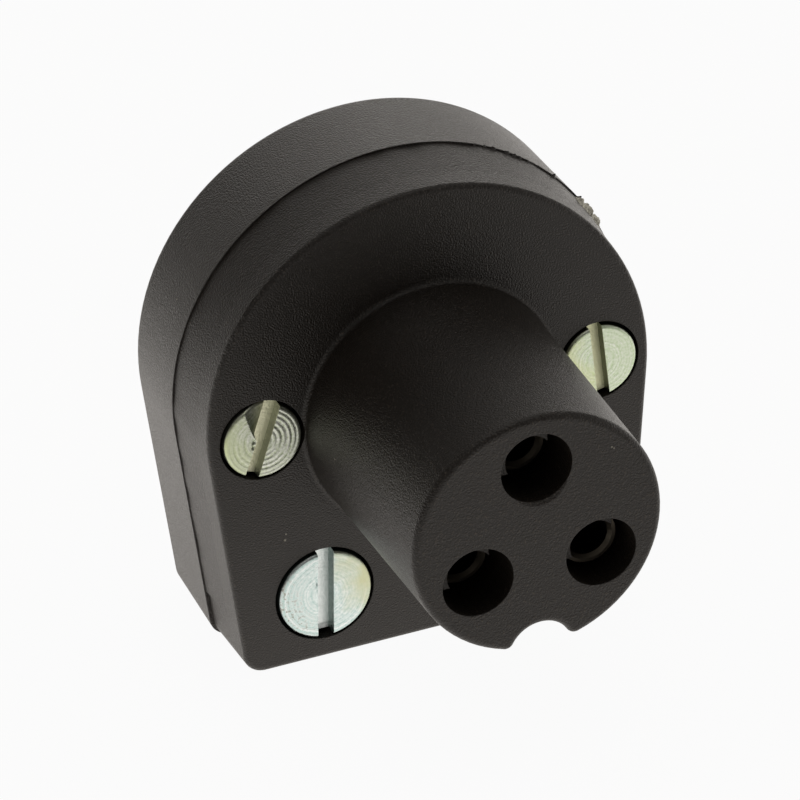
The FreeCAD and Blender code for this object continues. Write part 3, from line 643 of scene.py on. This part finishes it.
def stage():
    """A plain white floor that shows the shadow: mostly an even glow, and a little matte paper."""
    signs = ((-1, -1), (1, -1), (1, 1), (-1, 1))
    corners = [(x * FLOOR_REACH, y * FLOOR_REACH, -FLOOR_DROP) for x, y in signs]
    floor_mesh = bpy.data.meshes.new("floor")
    floor_mesh.from_pydata(corners, [], [(0, 1, 2, 3)])
    material, tree, place = new_material("floor_paper")
    paper = add(tree, "ShaderNodeBsdfDiffuse", {"Color": linear("#f4f4f4")})
    sight = add(tree, "ShaderNodeLightPath").outputs["Is Camera Ray"]
    depth = add(tree, "ShaderNodeSeparateXYZ", {0: place}).outputs["Y"]
    given = add(tree, "ShaderNodeMapRange", {
        0: depth, 1: -FLOOR_TURN, 2: FLOOR_TURN, 3: FLOOR_AHEAD, 4: FLOOR_BEHIND}).outputs[0]
    away = add(tree, "ShaderNodeVectorMath", {
        0: place, 1: FADE_WAY}, operation="DOT_PRODUCT").outputs["Value"]
    fade = add(tree, "ShaderNodeMapRange", {
        0: away, 1: FADE_START, 2: FADE_END, 3: 1.0, 4: FADE_LEVEL}).outputs[0]
    faded = add(tree, "ShaderNodeMath", {0: given, 1: fade}, operation="MULTIPLY").outputs[0]
    strength = add(tree, "ShaderNodeMix", {0: sight, 2: faded, 3: 1.0}).outputs[0]
    tint = add(tree, "ShaderNodeMix", {
        0: sight, 6: linear(LIGHT_TINT), 7: WHITE}, data_type="RGBA").outputs[2]
    glow = add(tree, "ShaderNodeEmission", {"Color": tint, "Strength": strength})
    shader = add(tree, "ShaderNodeMixShader", {0: FLOOR_GLOW, 1: paper.outputs[0], 2: glow.outputs[0]})
    add(tree, "ShaderNodeOutputMaterial", {"Surface": shader.outputs[0]})
    floor_mesh.materials.append(material)
    floor = bpy.data.objects.new("floor", floor_mesh)
    bpy.context.scene.collection.objects.link(floor)


def surround():
    """White to the camera; as light, a dim studio with the sum of a few soft lights.

    Each light's strength falls off as the exponential of the cosine of the angle from its middle.
    """
    world = bpy.data.worlds.new("studio")
    bpy.context.scene.world = world
    world.use_nodes = True
    tree = world.node_tree
    tree.nodes.clear()
    way = add(tree, "ShaderNodeTexCoord").outputs["Generated"]
    total = 0.0
    for azimuth, elevation, strength in SOFT_LIGHTS:
        turn, lift = math.radians(azimuth), math.radians(elevation)
        middle = (math.cos(lift) * math.sin(turn), math.cos(lift) * math.cos(turn), math.sin(lift))
        near = add(tree, "ShaderNodeVectorMath", {
            0: way, 1: middle}, operation="DOT_PRODUCT").outputs["Value"]
        power = add(tree, "ShaderNodeMath", {
            0: near, 1: FALL_OFF, 2: -FALL_OFF}, operation="MULTIPLY_ADD").outputs[0]
        glow = add(tree, "ShaderNodeMath", {0: power}, operation="EXPONENT").outputs[0]
        total = add(tree, "ShaderNodeMath", {
            0: glow, 1: strength, 2: total}, operation="MULTIPLY_ADD").outputs[0]
    sight = add(tree, "ShaderNodeLightPath").outputs["Is Camera Ray"]
    seen = add(tree, "ShaderNodeBackground", {"Color": WHITE, "Strength": 1.0})
    light = add(tree, "ShaderNodeBackground", {"Color": linear(LIGHT_TINT), "Strength": total})
    both = add(tree, "ShaderNodeMixShader", {0: sight, 1: light.outputs[0], 2: seen.outputs[0]})
    add(tree, "ShaderNodeOutputWorld", {"Surface": both.outputs[0]})


# Camera of the photograph: its direction from the object, roll, distance and the point that it looks at.
CAMERA_AZIMUTH = math.radians(-20.094)
CAMERA_ELEVATION = math.radians(30.196)
CAMERA_ROLL = math.radians(-2.889)
CAMERA_DISTANCE = 246.0 * MM
CAMERA_TARGET = Vector((-2.645, -0.130, 16.772)) * MM
# Width of the sensor in millimetres, and the focal length worked out from its size in pixels.
SENSOR = 36.0
FOCAL_PIXELS, PICTURE_PIXELS = 4500, 800
FOCAL_LENGTH = SENSOR * FOCAL_PIXELS / PICTURE_PIXELS


def camera():
    """The photograph's camera, from azimuth, elevation, roll and distance."""
    data = bpy.data.cameras.new("camera")
    data.sensor_width = SENSOR
    data.lens = FOCAL_LENGTH
    data.clip_start, data.clip_end = 0.01, 10
    made = bpy.data.objects.new("camera", data)
    bpy.context.scene.collection.objects.link(made)
    level = math.cos(CAMERA_ELEVATION)
    back = Vector((
        math.sin(CAMERA_AZIMUTH) * level, -math.cos(CAMERA_AZIMUTH) * level, math.sin(CAMERA_ELEVATION)))
    made.location = CAMERA_TARGET + back * CAMERA_DISTANCE
    made.rotation_mode = "QUATERNION"
    made.rotation_quaternion = (-back).to_track_quat("-Z", "Y") @ Quaternion((0, 0, 1), CAMERA_ROLL)
    bpy.context.scene.camera = made


stage()
surround()
camera()
bpy.context.scene.view_settings.view_transform = "Standard"
